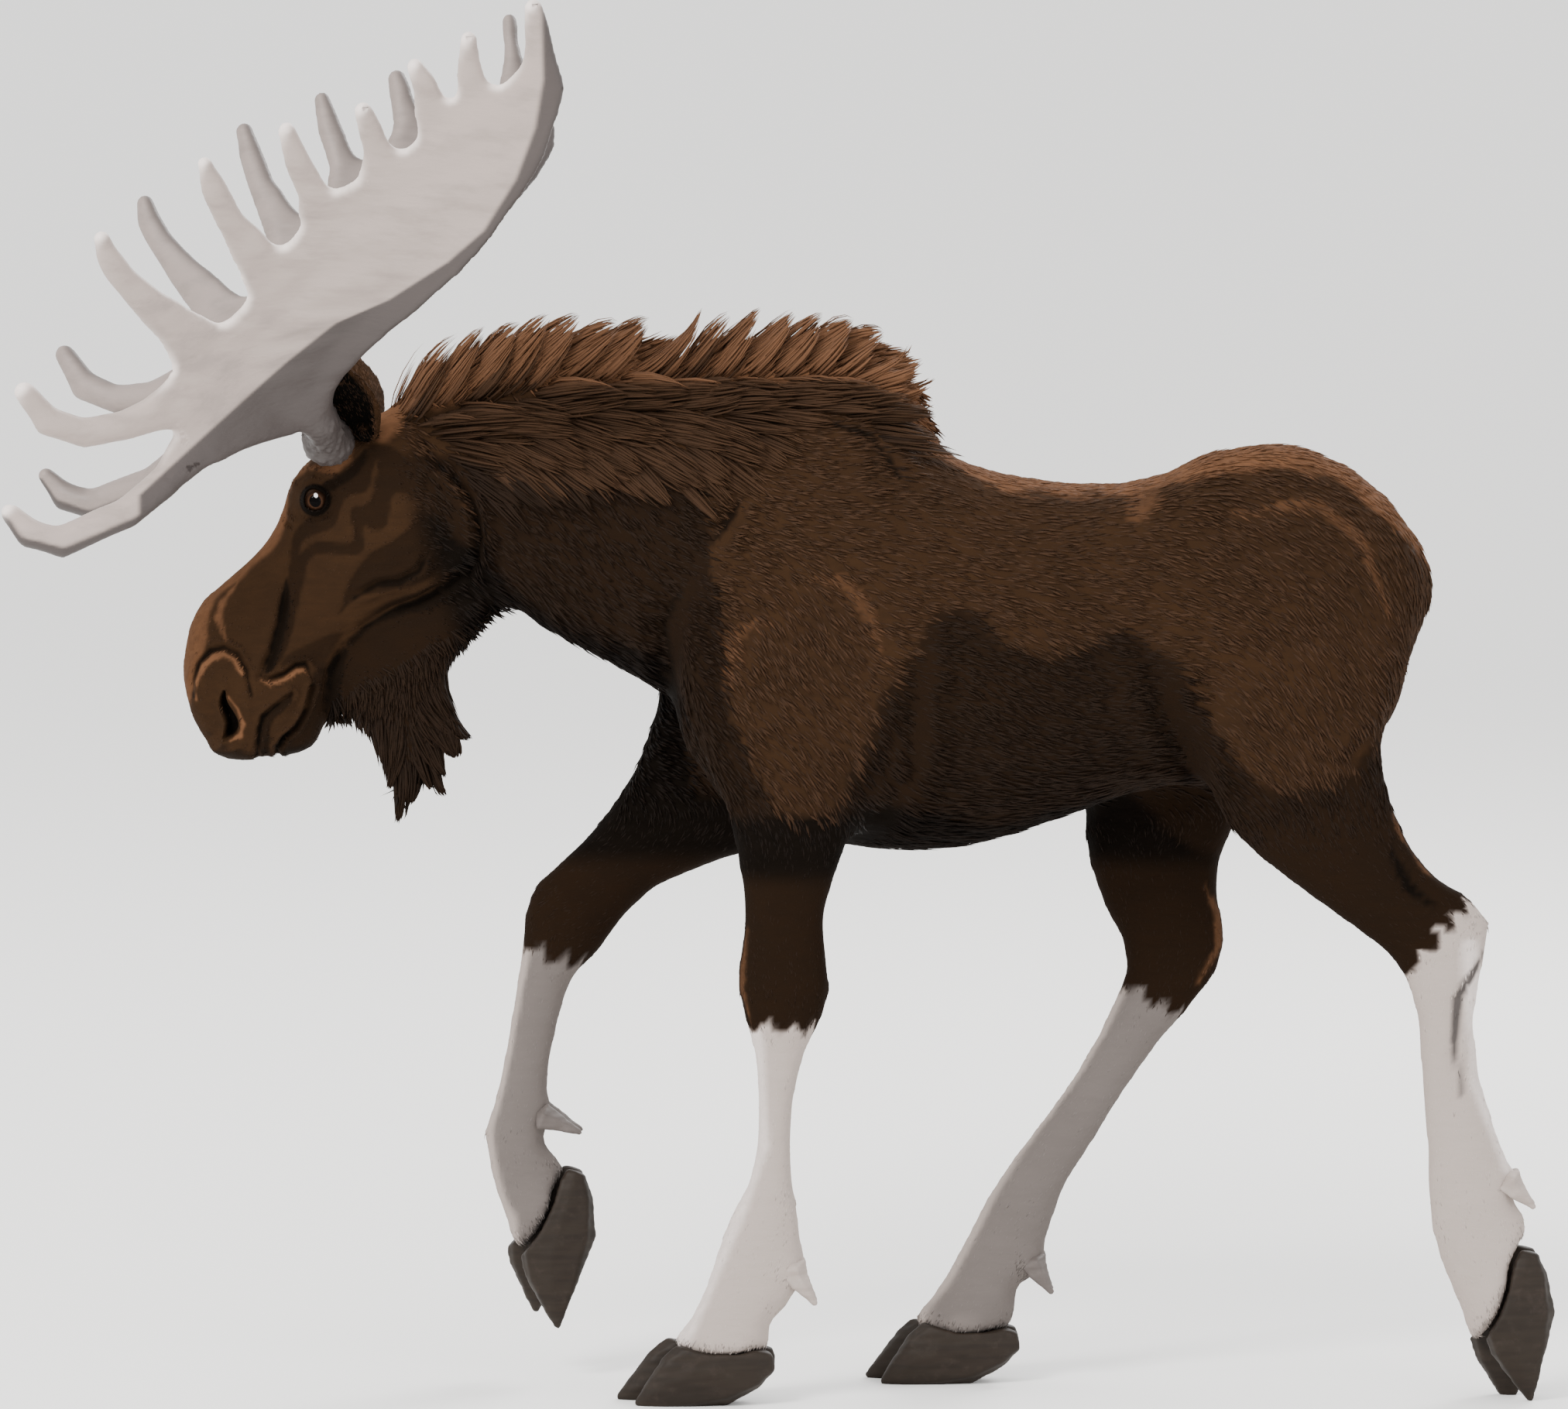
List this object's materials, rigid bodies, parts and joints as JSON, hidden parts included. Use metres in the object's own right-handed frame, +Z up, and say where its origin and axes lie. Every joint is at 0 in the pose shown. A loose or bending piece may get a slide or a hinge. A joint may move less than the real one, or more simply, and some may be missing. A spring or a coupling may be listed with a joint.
{
  "type": "bull moose",
  "caption": "Life-size bull moose in mid stride, with broad palmate antlers, a maned hump, a hanging bell and pale lower legs.",
  "frame": {"origin": "on the floor, under the middle of the whole length and width", "axes": "+Z up, the moose walks towards -X, and its left side is towards -Y"},
  "size_m": [2.8278, 1.3526, 2.6016],
  "materials": {
    "coat": "dark brown fur, lighter along the mane",
    "stocking": "pale grey short fur",
    "antler": "bare bone, satin",
    "hoof": "dark horn, satin",
    "eye": "wet and glossy"
  },
  "bodies": {
    "root": {"head": "coat", "neck": "coat", "torso": "coat", "bell": "coat", "tail": "coat", "ear_left": "coat", "eye_left": "eye", "antler_left_palm": "antler", "antler_left_brow": "antler", "ear_right": "coat", "eye_right": "eye", "antler_right_palm": "antler", "antler_right_brow": "antler", "foreleg_left_upper": "coat", "foreleg_left_lower": "stocking", "foreleg_left_claw_outer": "hoof", "foreleg_left_dewclaw_outer": "hoof", "foreleg_left_claw_inner": "hoof", "foreleg_left_dewclaw_inner": "hoof", "foreleg_right_upper": "coat", "foreleg_right_lower": "stocking", "foreleg_right_claw_outer": "hoof", "foreleg_right_dewclaw_outer": "hoof", "foreleg_right_claw_inner": "hoof", "foreleg_right_dewclaw_inner": "hoof", "hindleg_left_upper": "coat", "hindleg_left_lower": "stocking", "hindleg_left_claw_outer": "hoof", "hindleg_left_dewclaw_outer": "hoof", "hindleg_left_claw_inner": "hoof", "hindleg_left_dewclaw_inner": "hoof", "hindleg_right_upper": "coat", "hindleg_right_lower": "stocking", "hindleg_right_claw_outer": "hoof", "hindleg_right_dewclaw_outer": "hoof", "hindleg_right_claw_inner": "hoof", "hindleg_right_dewclaw_inner": "hoof"}
  },
  "joints": []
}
